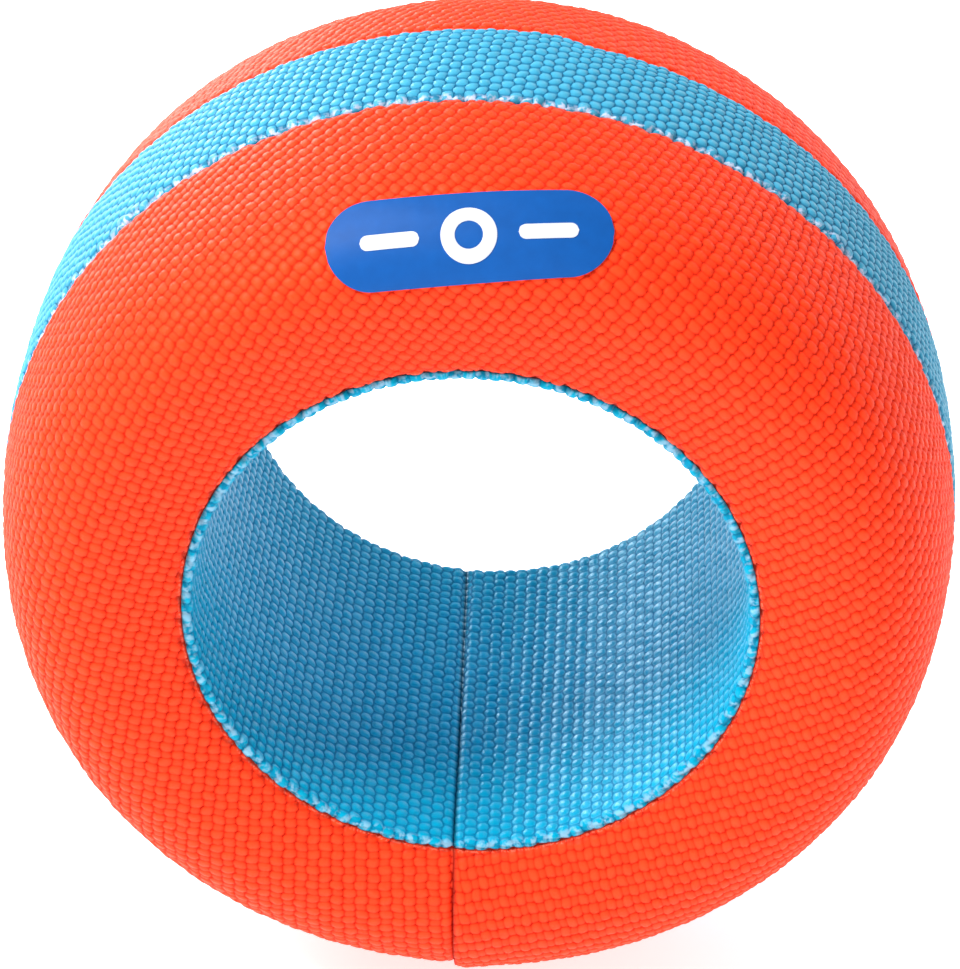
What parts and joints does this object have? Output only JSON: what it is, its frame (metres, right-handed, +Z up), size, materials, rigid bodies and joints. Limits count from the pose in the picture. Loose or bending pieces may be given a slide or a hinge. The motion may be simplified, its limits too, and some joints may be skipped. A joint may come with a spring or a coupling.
{
  "type": "soft throwing ring",
  "caption": "Fat foam ring sewn into coarse woven cloth, with a wide round bore, for throwing, rolling and fetching.",
  "frame": {"origin": "centre of the bore, on the ring's axis and midway between its two sides", "axes": "+Y along the bore from the front panel, which has the badge, to the rear panel; +Z up, from the closing seams at the foot to the badge's side"},
  "size_m": [0.15, 0.0866, 0.1496],
  "materials": {
    "foam": "closed-cell foam, matt",
    "orange_cloth": "coarse plain-woven ballistic nylon, slightly glossy threads",
    "blue_cloth": "coarse plain-woven ballistic nylon, slightly glossy threads",
    "thread": "bonded nylon sewing thread",
    "badge_film": "heat-set soft film, satin",
    "emblem_film": "heat-set soft film, satin"
  },
  "bodies": {
    "root": {"foam_core": "foam", "front_panel": "orange_cloth", "rear_panel": "orange_cloth", "tread_band": "blue_cloth", "bore_liner": "blue_cloth", "front_rim_stitches": "thread", "rear_rim_stitches": "thread", "front_shoulder_stitches": "thread", "rear_shoulder_stitches": "thread", "closing_seam_stitches": "thread", "badge_backing": "badge_film", "badge_emblem": "emblem_film"}
  },
  "joints": []
}
